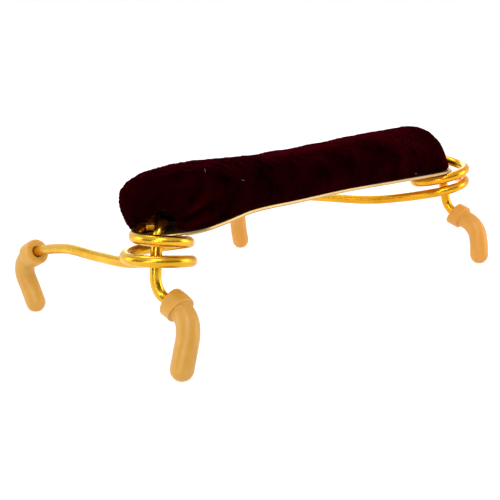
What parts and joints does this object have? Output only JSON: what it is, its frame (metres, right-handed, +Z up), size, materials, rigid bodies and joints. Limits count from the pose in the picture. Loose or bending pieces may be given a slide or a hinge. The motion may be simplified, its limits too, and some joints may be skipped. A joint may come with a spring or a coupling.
{
  "type": "violin shoulder rest",
  "caption": "Velvet-covered cushion on a curved metal strip, carried by sprung wire arms with rubber feet that grip the edges of a violin's back.",
  "frame": {"origin": "on the surface the feet stand on, under the middle of the bounding box", "axes": "+Z up, from the feet to the cushion; +X along the strip, towards the end with the straighter leg and the blunter end of the cushion; the short feet are on the -Y side and the long arms run to +Y"},
  "size_m": [0.2104, 0.1316, 0.0672],
  "materials": {
    "strip": "polished",
    "foam": "open-cell foam, matte",
    "velvet": "pile velvet, matte with a sheen",
    "wire": "polished gold plate",
    "fitting": "polished",
    "latex": "satin, slightly translucent"
  },
  "bodies": {
    "frame": {"base_plate": "strip", "foam_pad": "foam", "velvet_cover": "velvet", "left_leg_wire": "wire", "left_spring_coil": "wire", "left_wire_clip": "fitting", "left_clip_rivet": "fitting", "left_short_foot": "latex", "right_leg_wire": "wire", "right_spring_coil": "wire", "right_wire_clip": "fitting", "right_clip_rivet": "fitting", "right_short_foot": "latex"},
    "left_arm": {"left_arm_wire": "wire", "left_long_foot": "latex"},
    "right_arm": {"right_arm_wire": "wire", "right_long_foot": "latex"}
  },
  "joints": [
    {"name": "left_arm_spring", "type": "hinge", "parent": "frame", "child": "left_arm", "pos_m": [-0.0913, -0.0417, 0.04], "axis": [0.0896, 0.0799, 0.9928], "range_deg": [-3, 14], "stiffness_Nm_per_rad": 16, "deforming": ["left_spring_coil"]},
    {"name": "right_arm_spring", "type": "hinge", "parent": "frame", "child": "right_arm", "pos_m": [0.0925, -0.0417, 0.037], "axis": [0.0896, -0.0799, -0.9928], "range_deg": [-3, 14], "stiffness_Nm_per_rad": 16, "deforming": ["right_spring_coil"]}
  ]
}
